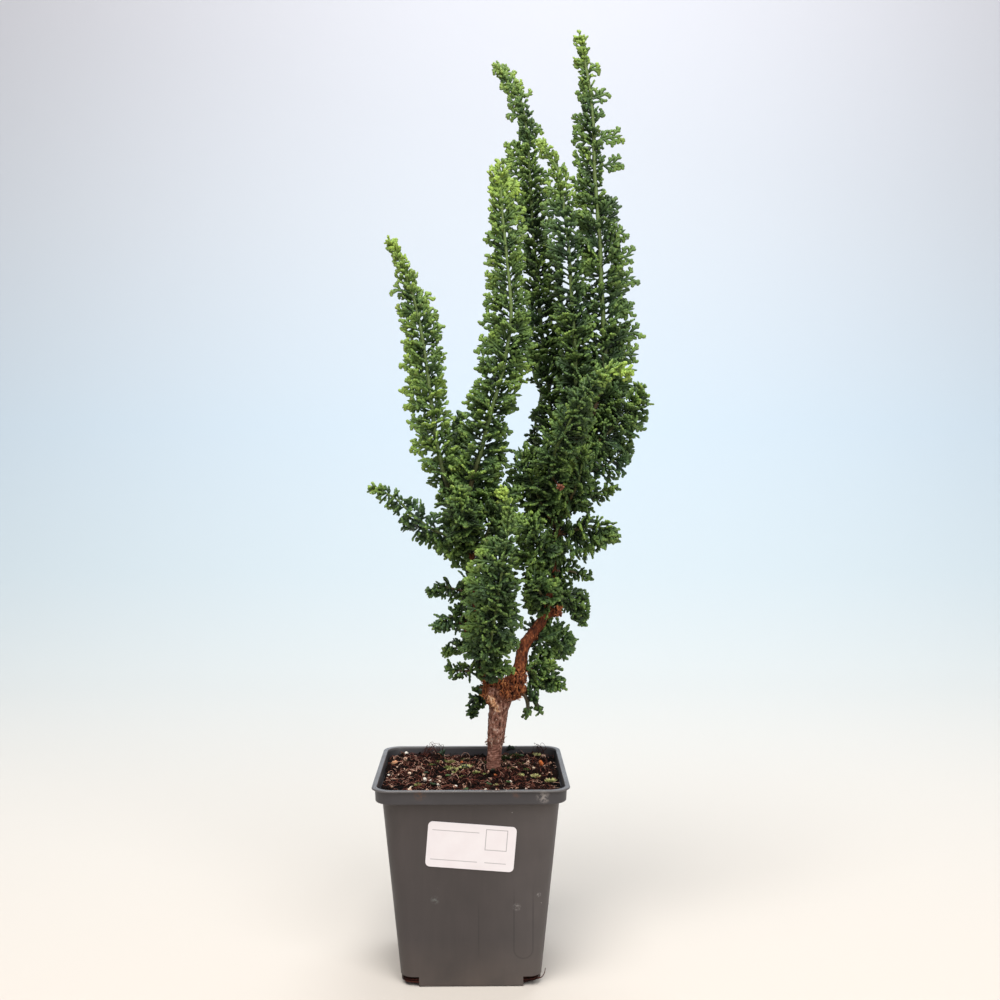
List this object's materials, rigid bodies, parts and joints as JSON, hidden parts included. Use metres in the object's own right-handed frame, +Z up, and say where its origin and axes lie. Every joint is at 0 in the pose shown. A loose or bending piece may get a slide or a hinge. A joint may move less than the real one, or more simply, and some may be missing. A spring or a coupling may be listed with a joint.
{
  "type": "hinoki cypress bonsai",
  "caption": "Young hinoki cypress trained as a bonsai: knotted brown trunk that forks low, upright leafy shoots, soil, and a tapered square plastic pot with a bare white label.",
  "frame": {"origin": "middle of the pot's underside, on the surface that it stands on", "axes": "+Z up along the trunk, -Y towards the viewer of the picture, out of the face with the label, +X to that viewer's right"},
  "size_m": [0.1615, 0.1116, 0.5462],
  "materials": {
    "pot_plastic": "satin",
    "soil": "matte",
    "label_paper": "matte",
    "bark": "matte",
    "foliage": "satin"
  },
  "bodies": {
    "root": {"pot": "pot_plastic", "soil": "soil", "label": "label_paper", "trunk_and_limbs": "bark", "leader_far_left": "foliage", "leader_left": "foliage", "leader_centre_back": "foliage", "leader_centre": "foliage", "leader_tallest": "foliage", "leader_back": "foliage", "arm_left": "foliage", "shoot_left_front": "foliage", "shoot_front": "foliage", "tuft_above_fork": "foliage", "shoot_right_front": "foliage", "tuft_centre": "foliage", "shoot_right_upper": "foliage", "shoot_right_middle": "foliage", "shoot_right_lower": "foliage", "arm_right": "foliage", "twig_right_upper": "foliage", "twig_right_middle": "foliage", "twig_right_lower": "foliage", "tuft_inside_fork": "foliage", "tuft_inside_fork_upper": "foliage", "tuft_right_front": "foliage", "twig_low_right": "foliage", "twig_hanging_right": "foliage", "twig_hanging_left": "foliage", "twig_left_1": "foliage", "twig_left_2": "foliage", "twig_left_3": "foliage", "twig_left_4": "foliage", "twig_low_left": "foliage", "shoot_left_back": "foliage", "shoot_middle": "foliage", "tuft_middle_right": "foliage", "back_shoot_left_upper": "foliage", "back_shoot_middle": "foliage", "back_shoot_right_upper": "foliage", "back_shoot_left_lower": "foliage", "back_shoot_right_lower": "foliage", "back_shoot_centre": "foliage"}
  },
  "joints": []
}
